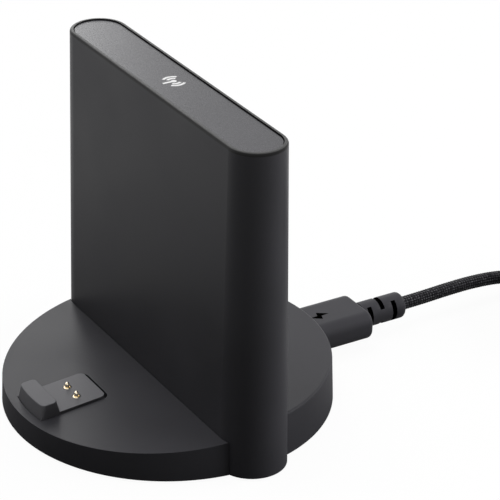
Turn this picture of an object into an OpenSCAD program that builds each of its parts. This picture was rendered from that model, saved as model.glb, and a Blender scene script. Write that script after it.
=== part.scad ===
// Charging dock with a built-in wireless receiver for a computer mouse.
// A round base with a sloped charging deck, an upright tower with round ends and a braided USB lead.
// Millimetres. X runs along the tower, the charging deck faces -Y, the socket faces +Y and Z is up.
// The origin lies on the table under the centre of the round base.

/* [Base] */
// Diameter of the round base at the table
base_d = 64.2; // [62:0.1:70]
// How far the base wall leans in between the table and the rear deck
base_lean = 0.35; // [0:0.05:0.8]
// Height of the sloped charging deck over the centre of the base
deck_h = 7.6; // [7.2:0.1:8.4]
// Slope of the charging deck in degrees
deck_slope = 4.4; // [3:0.1:5]
// Height of the flat rear deck
rear_h = 9.2; // [8.9:0.1:12]
// Thickness of the base's side wall
wall = 1.8; // [1.4:0.1:2]
// Thickness of both decks
deck_t = 1.6; // [1.2:0.1:1.8]
// Radius of the rounded upper edges
edge_r = 0.5; // [0.2:0.1:0.8]
// Thickness of the base plate
plate_t = 1.6; // [1.4:0.1:1.8]
// Diameter of the rubber foot pad
pad_d = 54; // [50:0.5:56]
// Thickness of the rubber foot pad
pad_t = 1.0; // [0.8:0.1:1.2]
// How far the foot pad stands below the housing
pad_proud = 0.4; // [0.3:0.1:0.6]

/* [Tower] */
// Height of the tower's rim above the table
tower_h = 65.6; // [60:0.2:75]
// Distance between the axes of the tower's round ends
tower_span = 58.3; // [56:0.1:64]
// Thickness of the tower at the table
tower_foot_t = 13.4; // [13:0.1:15]
// Thickness of the tower at its rim
tower_rim_t = 11.3; // [11:0.1:12.6]
// Distance of the tower's middle plane behind the base's centre
tower_y = 1.4; // [0:0.1:3]
// Wall thickness of the tower shell
tower_wall = 1.6; // [1.3:0.1:1.8]
// Width of the shell's rim around the top panel
rim_w = 0.75; // [0.6:0.05:0.9]
// Thickness of the top panel
panel_t = 1.2; // [1:0.1:1.6]
// Depth of the top panel below the rim
panel_sunk = 0.25; // [0.1:0.05:0.5]

/* [Charging contacts] */
// Width of the contact insert
insert_w = 9.8; // [9.2:0.1:11]
// Length of the contact insert from its outer edge to its inner edge
insert_len = 14; // [13:0.1:15]
// Distance between the base's edge and the insert's outer edge
insert_margin = 2.05; // [1.95:0.05:2.6]
// Height of the contact platform above the deck
platform_h = 0.45; // [0.3:0.05:0.6]
// Height of the locating lug above the deck
lug_h = 2.8; // [2:0.1:4]
// Depth of the locating lug's top from front to back
lug_depth = 3.4; // [3:0.1:4]
// Distance between the two contact pins
pin_pitch = 3.8; // [3:0.1:5]
// Distance of the contact pins from the insert's inner edge
pin_in = 4.75; // [4:0.05:5.5]
// Diameter of the contact pins' tips
pin_d = 0.86; // [0.7:0.02:0.9]
// Outer diameter of the pins' barrels
barrel_d = 1.5; // [1.4:0.05:1.8]
// Height of a pin's tip above its barrel
pin_proud = 1; // [0.8:0.05:1.2]

/* [Boards] */
// Thickness of the main board
board_t = 0.8; // [0.6:0.1:1]
// Gap between the base plate and the main board
board_lift = 0.6; // [0.4:0.1:0.8]
// Width of the main board
board_w = 26; // [22:0.5:28]
// Width of the radio board in the tower
radio_w = 42; // [38:0.5:44]
// Height of the radio board
radio_h = 42.5; // [38:0.5:44]
// Thickness of the radio board
radio_t = 1.0; // [0.8:0.1:1.2]

/* [Socket and plug] */
// Width of the socket's opening
socket_w = 8.34; // [8.3:0.01:8.4]
// Height of the socket's opening
socket_h = 2.56; // [2.5:0.01:2.6]
// Sheet thickness of the socket's shell
socket_sheet = 0.32; // [0.25:0.01:0.4]
// Length of the socket
socket_len = 7.4; // [7:0.1:8]
// Width of the plug's moulded housing
plug_w = 11.4; // [11:0.1:12.3]
// Thickness of the plug's moulded housing
plug_t = 6.0; // [5.6:0.1:6.4]
// Length of the plug's moulded housing
plug_len = 13.2; // [12:0.1:16]
// Corner radius of the plug's moulded housing
plug_r = 2.4; // [1.8:0.1:2.6]
// Depth by which the plug's housing enters the base's wall
port_depth = 1.1; // [0.9:0.1:1.2]
// Length of the plug's strain relief
relief_len = 10; // [9:0.1:14]
// Diameter of the plug's strain relief
relief_d = 5.4; // [5:0.1:5.6]
// Diameter of the braided cable
cable_d = 2.8; // [2.4:0.1:3.2]

/* [Far plug] */
// Width of the far plug's housing
far_w = 15.5; // [14:0.1:16]
// Thickness of the far plug's housing
far_t = 8.0; // [7.6:0.1:8]
// Length of the far plug's housing
far_len = 17; // [15:0.5:24]
// Length of the far plug's metal shell
far_shell_len = 11.8; // [11:0.1:13]

/* [Fits] */
// Gap between pieces that are fixed together
fit = 0.1; // [0.05:0.01:0.15]
// Gap at the sides of the contact insert
insert_gap = 0.15; // [0.1:0.05:0.2]
// Gap at the inner edge of the contact insert
insert_back_gap = 0.65; // [0.5:0.05:0.8]
// Radial running clearance of the contact pins
pin_play = 0.03; // [0.02:0.005:0.05]
// Gap between the plug's housing and its recess
plug_gap = 0.25; // [0.15:0.05:0.3]

/* [Hidden] */
$fn = 96;

// Colours of the materials
shell_col = "#2b2b2d";
insert_col = "#5c5c5f";
panel_col = "#77777a";
white_col = "#f2f2f2";
clear_col = "#dfe6ea";
gold_col = "#d2a94c";
steel_col = "#b9bcc0";
board_col = "#1d4a35";
inner_col = "#17171a";
rubber_col = "#1b1b1c";
cable_col = "#111113";

// A length that cuts right through any piece
far = 200;
// Overlap that keeps cuts from ending on a face
eps = 0.5;

// Heights of the base's layers above the table
floor_z = pad_proud;
plate_top = floor_z + plate_t;
board_z = plate_top + board_lift;
board_top = board_z + board_t;

// Radii of the base
base_r = base_d / 2;
base_in_r = base_r - wall;
plate_r = base_in_r - fit;
pad_edge = 0.3;

// Screws that hold the covers, with the seats that the base plate raises for them
screw_d = 2.0;
screw_head_d = 3.6;
screw_head_h = 1.1;
screw_grip = 1.1;
screw_bite = 2.0;
screw_play = 0.02;
post_d = 5;
seat_z = pad_t + screw_head_h;
post_z = seat_z + screw_grip;
screw_tip = post_z + screw_bite;
boss_wall = 0.6;
boss_d = post_d + 2 * boss_wall;
post_x = 17.5;
front_post_y = -16.5;
rear_post_y = 17.5;
front_posts = [[-post_x, front_post_y], [post_x, front_post_y]];
rear_posts = [[-post_x, rear_post_y], [post_x, rear_post_y]];

// Small screws of both boards
tiny_d = 1.6;
tiny_head_d = 2.8;
tiny_head_h = 0.8;
tiny_bite = 1.2;
tiny_boss_d = tiny_head_d + 2 * boss_wall;
board_screw_side = 2.5;
board_screw_front = 3;
board_screw_rear = 4;
board_screw_x = board_w / 2 - board_screw_side;

// Socket, its wall window and the plug, all on one axis
socket_inset = 0.5;
socket_floor_t = 1.6;
tongue_short = 0.8;
neck_margin = 0.7;
neck_short = 1;
round_short = 0.01;
socket_out_h = socket_h + 2 * socket_sheet;
socket_out_w = socket_w + 2 * socket_sheet;
port_z = board_top + socket_out_h / 2;
socket_y = base_in_r - socket_inset;
socket_back = socket_y - socket_len;
socket_floor = socket_back + socket_floor_t;
tongue_w = 6.69;
tongue_t = 0.7;
tongue_tip = socket_y - tongue_short;
plug_face = base_r - port_depth;
plug_play_w = 0.09;
plug_play_t = 0.16;
plug_shell_w = socket_w - plug_play_w;
plug_shell_t = socket_h - plug_play_t;
plug_sheet = 0.3;
plug_core_w = plug_shell_w - 2 * plug_sheet;
plug_core_t = plug_shell_t - 2 * plug_sheet;
plug_reach = 6.65;
plug_tip = plug_face - plug_reach;
plug_slot_play = 0.1;
plug_slot_over = 0.5;
plug_end = plug_face + plug_len;
plug_end_r = 0.9;
relief_core_d = 3.2;
relief_edge = 0.8;
relief_slot_w = 1.0;
relief_slots = [1.4, 4.3, 7.1];
relief_slot_span = 115;

// Tower levels, from the rim down to the screw posts
panel_top = tower_h - panel_sunk;
panel_seat = panel_top - panel_t;
carrier_drop = 4.2;
carrier_top = panel_seat - carrier_drop;
radio_drop = 1.5;
radio_top = carrier_top - radio_drop;
radio_z = radio_top - radio_h;
web_h = 6;
web_top = post_z + web_h;
web_t = 1.6;
window_rise = 2;
window_side = 1;
window_top = board_top + window_rise;
window_w = board_w + 2 * window_side;
standoff_h = 1.2;
standoff_d = 4;
radio_back = tower_y;
radio_front = radio_back - radio_t;
carrier_t = 1.6;
carrier_front = radio_back + standoff_h;
carrier_back = carrier_front + carrier_t;
carrier_bar = 8;
rib_gap = 3;
rib_x = radio_w / 2 + rib_gap;
rib_t = 1.2;
tower_post_in = 1;
tower_post_x = rib_x - tower_post_in;
tower_posts = [[-tower_post_x, tower_y], [tower_post_x, tower_y]];
carrier_w = 2 * (rib_x + rib_t);
radio_screw_side = 3;
radio_screw_end = 3.5;
radio_screw_x = radio_w / 2 - radio_screw_side;
radio_screw_spots = [
    [-radio_screw_x, radio_z + radio_screw_end], [radio_screw_x, radio_z + radio_screw_end],
    [-radio_screw_x, radio_top - radio_screw_end], [radio_screw_x, radio_top - radio_screw_end]
];
led_w = 1.6;
led_t = 0.8;
led_h = 1.5;
pipe_gap = 0.3;
pipe_z = radio_top + pipe_gap;
pipe_w = 6.2;
pipe_d = 4.6;

// Radio circuit under its can, and the antenna's folded strip
can_w = 18;
can_h = 16;
can_t = 2;
can_sheet = 0.2;
can_shift = 3;
can_lift = 12;
antenna_strip = 0.9;
antenna_reach = 12;
antenna_fold = 2.2;
antenna_folds = 3;
antenna_sheet = 0.3;
antenna_side = 5;
antenna_drop = 1.5;

// Grid of the main board's parts, each given by place, width, depth and height
chip_grid = 1;
chips = [
    [-6, 9, 5, 5, 1], [6.5, 12, 4, 3, 0.9], [-8, -3, 3, 3, 0.8],
    [8, -9, 2, 1.2, 0.7], [-6, 15, 2, 1.2, 0.7]
];

// Flat cable between the boards
ribbon_w = 8;
ribbon_t = 0.3;
ribbon_x = 6;
ribbon_out = 0.8;
ribbon_lift = 0.4;
ribbon_y = radio_front - ribbon_out;
ribbon_z = board_top + ribbon_lift;
ribbon_socket_margin = 1;
ribbon_socket_w = ribbon_w + 2 * ribbon_socket_margin;
ribbon_socket_t = 2.4;
ribbon_socket_h = 2;
radio_socket_wall = 0.7;
radio_socket_h = 3;
radio_socket_lift = 1;
radio_socket_z = radio_z + radio_socket_lift;
ribbon_end = 1.6;
ribbon_top = radio_socket_z + ribbon_end;

// Contact insert, in the plane of the sloped deck
insert_out_r = base_r - insert_margin;
insert_in = insert_out_r - insert_len;
pin_out = insert_in + pin_in;
insert_corner = 1.2;
insert_lip = 1.2;
insert_lip_t = 0.6;
insert_depth = deck_t + insert_lip_t;
lug_play = 0.05;
lug_corner = 1.1;
lug_front_draft = 0.65;
lug_side_draft = 0.3;
lug_back_draft = 0.4;
lug_foot_r = insert_out_r + insert_gap - lug_play;
lug_foot_w = insert_w + 2 * (insert_gap - lug_play);
lug_in = lug_foot_r - lug_front_draft - lug_depth;
lug_foot_in = lug_in - lug_back_draft;

// Contact pins, upright in their barrels on the main board
barrel_floor = 0.35;
barrel_rise = 0.05;
barrel_lip = 0.3;
barrel_sheet = 0.2;
barrel_round = 0.2;
barrel_mouth = 0.12;
barrel_top = deck_z(-pin_out) + platform_h + barrel_rise;
bore_d = barrel_d - 2 * barrel_sheet;
pin_head_d = bore_d - 2 * pin_play;
pin_head_h = 0.9;
pin_head_top = barrel_top - barrel_lip - pin_play;
pin_head_z = pin_head_top - pin_head_h;
pin_tip = barrel_top + pin_proud;
block_side = 1.1;
block_end = 1.2;
block_h = 1.3;
block_w = pin_pitch + barrel_d + 2 * block_side;
block_depth = barrel_d + 2 * block_end;
block_top = board_top + block_h;
board_edge = 1.3;
board_front = -pin_out - block_depth / 2 - board_edge;
board_rear = socket_floor;
board_screw_y = [-insert_in + board_screw_front, board_rear - board_screw_rear];
board_screw_spots = [for (x = [-board_screw_x, board_screw_x], y = board_screw_y) [x, y]];
spring_wire = 0.14;
spring_turns = 3;
spring_steps = 14;
spring_sides = 6;

// Symbol on the top panel: a dot on a mast with two waves on each side
icon_depth = 0.4;
icon_x = -0.6;
icon_rise = 0.35;
icon_line = 0.55;
icon_waves = [1.22, 2.05];
icon_span = 86;
icon_dot_r = 0.52;
icon_mast = 2.3;

// Route of the cable where it lies straight, and the coil that holds its length
lead_route = [
    [0, 54.2, 5], [0, 60, 5.1], [0, 66, 5.3], [0, 72, 5.3], [0, 78, 4.8],
    [0, 84, 3.6], [0, 90, 2.4], [0, 98, 1.9]
];
tail_route = [
    [22.8, 120.8, 10.6], [26.5, 120.8, 10.6], [29, 120.8, 10.34], [31.5, 120.8, 9.51],
    [34, 120.8, 7.97], [35.86, 120.8, 6.1], [37.7, 120.8, 4.23], [40.2, 120.8, 2.69],
    [42.7, 120.8, 1.86], [45.2, 120.8, 1.6], [49.49, 119.95, 1.6], [53.12, 117.52, 1.6],
    [55.55, 113.89, 1.6], [56.4, 109.6, 1.6], [56.4, 107, 1.89], [56.4, 104.4, 2.8],
    [56.4, 101.7, 3.71], [56.4, 99.1, 4], [56.4, 97.6, 4]
];
cable_sides = 8;
coil_x = 22.8;
coil_y = 98;
coil_in_r = 9.4;
coil_out_r = 24.2;
coil_z = 0.5;
coil_top = 12;
tie_t = coil_z;
tie_w = 7;
tie_turn = -35;
tie_in = 8.6;
far_x = 56.4;
far_y = 97.6;
far_z = far_t / 2;
far_relief_len = 8;
far_relief_d = 5.6;
far_relief_taper = 0.7;
far_shell_w = 12;
far_shell_t = 4.5;
far_sheet = 0.3;
far_tongue_w = 11.1;
far_tongue_t = 1.9;
far_tongue_short = 0.6;
far_corner = 2.2;

// Height of the sloped deck at a distance from the base's centre
function deck_z(y) = deck_h + y * tan(deck_slope);

// Half thickness of the tower at a height
function tower_r(z) =
    (tower_foot_t - (tower_foot_t - tower_rim_t) * (z - floor_z) / (tower_h - floor_z)) / 2;

// Quarter round from a wall's top to a flat face, as points of radius and height
function rounded_edge(r, z, e) =
    [for (a = [0 : 15 : 90]) [r - e + e * cos(a), z - e + e * sin(a)]];

// Straight drafted wall of the tower between two heights, grown or inset sideways
function tower_wall_line(z0, z1, grow) = [[tower_r(z0) + grow, z0], [tower_r(z1) + grow, z1]];

function unit(v) = v / norm(v);

// Direction of a route at one of its points
function heading(path, i) = unit(path[min(i + 1, len(path) - 1)] - path[max(i - 1, 0)]);

// One ring of a tube, square to the route
function tube_ring(path, i, r, sides) =
    let (
        ahead = heading(path, i),
        side = unit(cross(ahead, [0, 0, 1])),
        over = cross(side, ahead)
    )
    [for (k = [0 : sides - 1]) path[i] + r * (cos(360 * k / sides) * side + sin(360 * k / sides) * over)];

// Closed tube of flat facets swept along a list of points
module tube(path, r, sides) {
    n = len(path);
    points = [for (i = [0 : n - 1]) each tube_ring(path, i, r, sides)];
    first = [[for (k = [0 : sides - 1]) k]];
    last = [[for (k = [sides - 1 : -1 : 0]) (n - 1) * sides + k]];
    skin = [
        for (i = [0 : n - 2], k = [0 : sides - 1])
        let (a = i * sides + k, b = i * sides + (k + 1) % sides)
        each [[a, a + sides, b + sides], [a, b + sides, b]]
    ];
    polyhedron(points, concat(first, skin, last));
}

// Solid with the tower's plan, from the outline of half its thickness
module stadium_of(outline) {
    last = len(outline) - 1;
    for (side = [-1, 1])
        translate([side * tower_span / 2, tower_y, 0])
            rotate_extrude()
                polygon(concat([[0, outline[0][1]]], outline, [[0, outline[last][1]]]));
    mirrored = [for (i = [last : -1 : 0]) [-outline[i][0], outline[i][1]]];
    translate([-tower_span / 2, tower_y, 0])
        rotate([90, 0, 90])
            linear_extrude(tower_span)
                polygon(concat(outline, mirrored));
}

// Places its children on the sloped deck, with the deck's surface at their height zero
module on_deck() {
    translate([0, 0, deck_h])
        rotate([deck_slope, 0, 0])
            children();
}

// Lays a shape that is drawn upright along +Y, on the axis of the socket
module on_port_axis(y) {
    translate([0, y, port_z])
        rotate([-90, 0, 0])
            children();
}

// Lays a shape that is drawn upright along -Y, on the axis of the far plug, from a distance along it
module on_far_axis(along) {
    translate([far_x, far_y - along, far_z])
        rotate([90, 0, 0])
            children();
}

// Rectangle with round corners, centred
module round_rect(w, h, r) {
    square([w - 2 * r, h], center = true);
    square([w, h - 2 * r], center = true);
    for (x = [-1, 1], y = [-1, 1])
        translate([x * (w / 2 - r), y * (h / 2 - r)])
            circle(r);
}

// Everything in front of the tower's middle plane, or behind it
module front_half() {
    translate([-far / 2, tower_y - far, -eps])
        cube([far, far, far]);
}

module rear_half() {
    translate([-far / 2, tower_y, -eps])
        cube([far, far, far]);
}

// Space inside the base's wall, up to a height
module base_hollow(top) {
    translate([0, 0, floor_z - eps])
        cylinder(h = top - floor_z + eps, r = base_in_r);
}

// Holes for the cover screws' shanks
module pilot_holes(spots) {
    for (p = spots)
        translate([p[0], p[1], post_z - eps])
            cylinder(h = screw_tip - post_z + 2 * eps, d = screw_d + 2 * screw_play);
}

// Outline of the contact insert in the deck's plane, grown at its sides and at its inner edge
module insert_outline(grow, back) {
    w = insert_w + 2 * grow;
    r = insert_corner + grow;
    edge = back - insert_in;
    intersection() {
        circle(r = insert_out_r + grow);
        union() {
            translate([-w / 2, -base_r])
                square([w, base_r + edge - r]);
            translate([-w / 2 + r, -base_r])
                square([w - 2 * r, base_r + edge]);
            for (x = [-1, 1])
                translate([x * (w / 2 - r), edge - r])
                    circle(r);
        }
    }
}

// Screw with a flat head at the bottom and a plain shank, upright
module cover_screw() {
    difference() {
        union() {
            cylinder(h = screw_head_h, d = screw_head_d);
            cylinder(h = screw_head_h + screw_grip + screw_bite, d = screw_d);
        }
        translate([0, 0, -eps])
            cylinder(h = screw_head_h / 2 + eps, d = screw_d * 0.9, $fn = 6);
    }
}

// Screw of a board, with its head on top of height zero and its shank below
module tiny_screw(grip) {
    difference() {
        cylinder(h = tiny_head_h, d = tiny_head_d);
        translate([0, 0, tiny_head_h / 2])
            cylinder(h = tiny_head_h, d = tiny_d * 0.8, $fn = 6);
    }
    translate([0, 0, -grip - tiny_bite])
        cylinder(h = grip + tiny_bite + tiny_head_h / 4, d = tiny_d);
}

// Front half of the base with the sloped charging deck
module front_cover() {
    color(shell_col)
    difference() {
        union() {
            difference() {
                intersection() {
                    translate([0, 0, floor_z])
                        cylinder(h = rear_h - floor_z, r1 = base_r, r2 = base_r - base_lean);
                    on_deck()
                        translate([-far / 2, -far / 2, -far])
                            cube([far, far, far]);
                    front_half();
                }
                intersection() {
                    base_hollow(rear_h);
                    on_deck()
                        translate([-far / 2, -far / 2, -deck_t - far])
                            cube([far, far, far]);
                }
            }
            for (p = front_posts)
                translate([p[0], p[1], post_z])
                    cylinder(h = deck_z(p[1]) - deck_t / 2 - post_z, d = post_d);
        }
        stadium_of(tower_wall_line(-eps, rear_h + eps, fit));
        on_deck()
            translate([0, 0, -deck_t - eps])
                linear_extrude(deck_t + 2 * eps)
                    insert_outline(insert_gap, insert_back_gap);
        pilot_holes(front_posts);
    }
}

// Rear half of the base with the flat deck and the socket's recess
module rear_cover() {
    top_r = base_r - base_lean;
    color(shell_col)
    difference() {
        union() {
            difference() {
                intersection() {
                    rotate_extrude()
                        polygon(concat([[0, floor_z], [base_r, floor_z]],
                            rounded_edge(top_r, rear_h, edge_r), [[0, rear_h]]));
                    rear_half();
                }
                base_hollow(rear_h - deck_t);
            }
            for (p = rear_posts)
                translate([p[0], p[1], post_z])
                    cylinder(h = rear_h - deck_t / 2 - post_z, d = post_d);
        }
        stadium_of(tower_wall_line(-eps, rear_h + eps, fit));
        on_port_axis(plug_face - fit)
            linear_extrude(port_depth + eps + far)
                round_rect(plug_w + 2 * plug_gap, plug_t + 2 * plug_gap, plug_r + plug_gap);
        on_port_axis(socket_y)
            linear_extrude(far)
                round_rect(socket_out_w, socket_out_h, socket_out_h / 2 - round_short);
        pilot_holes(rear_posts);
    }
}

// Plate that closes the housing from below and carries the boards
module base_plate() {
    all_posts = concat(front_posts, rear_posts, tower_posts);
    color(inner_col)
    difference() {
        union() {
            translate([0, 0, floor_z])
                cylinder(h = plate_t, r = plate_r);
            stadium_of(tower_wall_line(floor_z, plate_top, -tower_wall - fit));
            for (p = all_posts)
                translate([p[0], p[1], floor_z])
                    cylinder(h = post_z - floor_z, d = boss_d);
            for (p = board_screw_spots)
                translate([p[0], p[1], floor_z])
                    cylinder(h = board_z - floor_z, d = tiny_boss_d);
        }
        translate([0, 0, floor_z - eps])
            cylinder(h = pad_t - floor_z + eps, d = pad_d + 2 * fit);
        for (p = all_posts) {
            translate([p[0], p[1], floor_z])
                cylinder(h = seat_z - floor_z, d = screw_head_d + 2 * fit);
            translate([p[0], p[1], floor_z])
                cylinder(h = far, d = screw_d + 2 * fit);
        }
        for (p = board_screw_spots)
            translate([p[0], p[1], board_z - tiny_bite])
                cylinder(h = far, d = tiny_d + 2 * screw_play);
    }
}

// Round rubber pad that the dock stands on
module foot_pad() {
    color(rubber_col)
    rotate_extrude()
        polygon([[0, 0], [pad_d / 2 - pad_edge, 0], [pad_d / 2, pad_edge], [pad_d / 2, pad_t], [0, pad_t]]);
}

module base_screws() {
    color(steel_col)
    for (p = concat(front_posts, rear_posts))
        translate([p[0], p[1], pad_t])
            cover_screw();
}

module tower_screws() {
    color(steel_col)
    for (p = tower_posts)
        translate([p[0], p[1], pad_t])
            cover_screw();
}

// Plan of the lug's foot, which fills the deck's pocket
module lug_outline() {
    intersection() {
        circle(r = lug_foot_r);
        translate([0, -(lug_foot_in + lug_foot_r) / 2])
            round_rect(lug_foot_w, lug_foot_r - lug_foot_in, lug_corner);
    }
}

// Lug that locates the mouse, drafted on all sides above the deck
module lug() {
    foot = lug_foot_w / 2;
    top = foot - lug_side_draft;
    translate([0, 0, -deck_t / 2])
        linear_extrude(deck_t / 2)
            lug_outline();
    intersection() {
        linear_extrude(lug_h)
            lug_outline();
        cylinder(h = lug_h, r1 = lug_foot_r, r2 = lug_foot_r - lug_front_draft);
        rotate([90, 0, 0])
            linear_extrude(far)
                polygon([[-foot, 0], [foot, 0], [top, lug_h], [-top, lug_h]]);
        rotate([90, 0, 90])
            linear_extrude(far, center = true)
                polygon([[-far, 0], [-lug_foot_in, 0], [-lug_in, lug_h], [-far, lug_h]]);
    }
}

// Insert with the contact platform and the lug that locates the mouse
module dock_insert() {
    color(insert_col)
    difference() {
        on_deck() {
            translate([0, 0, -deck_t])
                linear_extrude(deck_t + platform_h)
                    insert_outline(0, 0);
            translate([0, 0, -insert_depth])
                linear_extrude(insert_lip_t)
                    intersection() {
                        insert_outline(insert_lip, insert_lip);
                        translate([-far / 2, -pin_out + block_depth / 2 + fit])
                            square([far, far]);
                    }
            lug();
        }
        for (side = [-1, 1])
            translate([side * pin_pitch / 2, -pin_out, 0])
                cylinder(h = far, d = barrel_d + 2 * fit);
        translate([-block_w / 2 - fit, -pin_out - block_depth / 2 - fit, -eps])
            cube([block_w + 2 * fit, block_depth + 2 * fit, block_top + fit + eps]);
    }
}

// Block that holds the barrels on the main board
module pin_block() {
    color(inner_col)
    difference() {
        translate([-block_w / 2, -pin_out - block_depth / 2, board_top])
            cube([block_w, block_depth, block_top - board_top]);
        for (side = [-1, 1])
            translate([side * pin_pitch / 2, -pin_out, board_top - eps])
                cylinder(h = far, d = barrel_d + 2 * screw_play);
    }
}

// Barrels that guide the contact pins
module pin_barrels() {
    bore_z = board_top + barrel_floor;
    lip_z = barrel_top - barrel_lip;
    tip_hole_r = pin_d / 2 + pin_play;
    color(gold_col)
    for (side = [-1, 1])
        translate([side * pin_pitch / 2, -pin_out, 0])
            rotate_extrude()
                polygon(concat(
                    [[0, board_top], [barrel_d / 2, board_top]],
                    rounded_edge(barrel_d / 2, barrel_top, barrel_round),
                    [[tip_hole_r, barrel_top - barrel_mouth], [tip_hole_r, lip_z]],
                    [[bore_d / 2, lip_z], [bore_d / 2, bore_z], [0, bore_z]]
                ));
}

// Sprung contact pin with a round tip and a head inside the barrel
module contact_pin(side) {
    tip_r = pin_d / 2;
    color(gold_col)
    translate([side * pin_pitch / 2, -pin_out, 0])
        rotate_extrude()
            polygon(concat(
                [[0, pin_head_z], [pin_head_d / 2, pin_head_z]],
                [[pin_head_d / 2, pin_head_top], [tip_r, pin_head_top]],
                rounded_edge(tip_r, pin_tip, tip_r)
            ));
}

module contact_pin_left() { contact_pin(-1); }
module contact_pin_right() { contact_pin(1); }

// Coil spring between the barrel's floor and the pin's head
module pin_spring(side) {
    low = board_top + barrel_floor + spring_wire / 2;
    rise = pin_head_z - spring_wire / 2 - low;
    turn_r = bore_d / 2 - spring_wire;
    steps = spring_turns * spring_steps;
    path = [
        for (i = [0 : steps])
        let (a = 360 * i / spring_steps)
        [turn_r * cos(a), turn_r * sin(a), low + rise * i / steps]
    ];
    color(steel_col)
    translate([side * pin_pitch / 2, -pin_out, 0])
        tube(path, spring_wire / 2, spring_sides);
}

module pin_spring_left() { pin_spring(-1); }
module pin_spring_right() { pin_spring(1); }

// Main board in the base, which carries the contacts and the socket
module main_board() {
    neck_w = socket_out_w + 2 * neck_margin;
    neck_end = socket_y - neck_short;
    color(board_col)
    difference() {
        translate([0, 0, board_z])
            linear_extrude(board_t) {
                translate([-board_w / 2, board_front])
                    square([board_w, board_rear - board_front]);
                translate([-neck_w / 2, 0])
                    square([neck_w, neck_end]);
            }
        for (p = board_screw_spots)
            translate([p[0], p[1], board_z - eps])
                cylinder(h = far, d = tiny_d + 2 * screw_play);
    }
}

module main_board_screws() {
    color(steel_col)
    for (p = board_screw_spots)
        translate([p[0], p[1], board_top])
            tiny_screw(board_t);
}

// Charging and power parts on the main board
module charge_chips() {
    color(inner_col)
    for (c = chips * chip_grid)
        translate([c[0] - c[2] / 2, c[1] - c[3] / 2, board_top])
            cube([c[2], c[3], c[4]]);
}

// Metal shell of the socket, open to the rear
module socket_shell() {
    color(steel_col)
    difference() {
        on_port_axis(socket_back)
            linear_extrude(socket_len)
                round_rect(socket_out_w, socket_out_h, socket_out_h / 2 - round_short);
        on_port_axis(socket_back - eps)
            linear_extrude(socket_len + 2 * eps)
                round_rect(socket_w, socket_h, socket_h / 2 - round_short);
    }
}

// Insulator of the socket with its contact tongue
module socket_tongue() {
    color(inner_col) {
        on_port_axis(socket_back)
            linear_extrude(socket_floor - socket_back)
                round_rect(socket_w, socket_h, socket_h / 2 - round_short);
        on_port_axis(socket_floor)
            linear_extrude(tongue_tip - socket_floor)
                square([tongue_w, tongue_t], center = true);
    }
}

// Tall shell of the tower, open below and closed by the top panel
module tower_shell() {
    color(shell_col)
    difference() {
        union() {
            difference() {
                stadium_of(concat([[tower_r(floor_z), floor_z]],
                    rounded_edge(tower_rim_t / 2, tower_h, edge_r)));
                stadium_of(tower_wall_line(floor_z - eps, panel_seat + eps, -tower_wall));
                stadium_of(tower_wall_line(panel_seat, tower_h + eps, -rim_w));
            }
            intersection() {
                stadium_of(tower_wall_line(floor_z, panel_seat, -tower_wall / 2));
                union() {
                    tower_webs();
                    tower_ribs();
                }
            }
            for (p = tower_posts)
                translate([p[0], p[1], post_z])
                    cylinder(h = web_top - post_z, d = post_d);
        }
        translate([0, 0, -eps])
            cylinder(h = plate_top + eps, r = base_in_r);
        translate([-window_w / 2, -far / 2, 0])
            cube([window_w, far, window_top]);
        pilot_holes(tower_posts);
    }
}

// Cross webs that hold the tower's screw posts
module tower_webs() {
    for (p = tower_posts)
        translate([p[0] - web_t / 2, -far / 2, post_z])
            cube([web_t, far, web_top - post_z]);
}

// Ribs that guide the edges of the board carrier
module tower_ribs() {
    for (side = [-1, 1])
        translate([side * (rib_x + rib_t / 2) - rib_t / 2, 0, web_top]) {
            translate([0, carrier_front - fit - far, 0])
                cube([rib_t, far, carrier_top - web_top]);
            translate([0, carrier_back + fit, 0])
                cube([rib_t, far, carrier_top - web_top]);
        }
}

// Symbol of the top panel, extruded downwards from its face
module icon_shape(depth) {
    translate([icon_x, tower_y + icon_rise, panel_top - depth])
        linear_extrude(depth) {
            circle(icon_dot_r);
            translate([-icon_line / 2, -icon_mast])
                square([icon_line, icon_mast]);
            for (r = icon_waves, turn = [0, 180])
                rotate(turn)
                    intersection() {
                        difference() {
                            circle(r + icon_line / 2);
                            circle(r - icon_line / 2);
                        }
                        polygon([[0, 0], far * [cos(icon_span / 2), -sin(icon_span / 2)],
                            far * [cos(icon_span / 2), sin(icon_span / 2)]]);
                    }
        }
}

// Panel set into the tower's top
module top_panel() {
    color(panel_col)
    difference() {
        stadium_of(tower_wall_line(panel_seat, panel_top, -rim_w - 2 * fit));
        translate([0, 0, eps])
            icon_shape(icon_depth + eps);
    }
}

// White window in the shape of the wireless symbol
module icon_window() {
    color(white_col)
    icon_shape(icon_depth);
}

// Clear block that carries the light to the symbol
module light_pipe() {
    color(clear_col)
    translate([-pipe_w / 2, tower_y - pipe_d / 2, pipe_z])
        cube([pipe_w, pipe_d, panel_seat - pipe_z]);
}

module status_led() {
    color(white_col)
    translate([-led_w / 2, radio_front - led_t, radio_top - led_h])
        cube([led_w, led_t, led_h]);
}

// Frame in the tower that carries the radio board
module board_carrier() {
    slot_w = radio_w / 2 - carrier_bar;
    color(inner_col)
    difference() {
        union() {
            translate([-carrier_w / 2, carrier_front, web_top])
                cube([carrier_w, carrier_t, carrier_top - web_top]);
            for (p = radio_screw_spots)
                translate([p[0], radio_back, p[1]])
                    rotate([-90, 0, 0])
                        cylinder(h = carrier_front - radio_back + eps, d = standoff_d);
        }
        for (side = [-1, 1])
            translate([side * radio_w / 4 - slot_w / 2, 0, radio_z + carrier_bar])
                cube([slot_w, far, radio_h - 2 * carrier_bar]);
        translate([-pipe_w / 2 - fit, 0, pipe_z - fit])
            cube([pipe_w + 2 * fit, far, far]);
        for (p = radio_screw_spots)
            translate([p[0], radio_back - eps, p[1]])
                rotate([-90, 0, 0])
                    cylinder(h = far, d = tiny_d + 2 * screw_play);
    }
}

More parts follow.
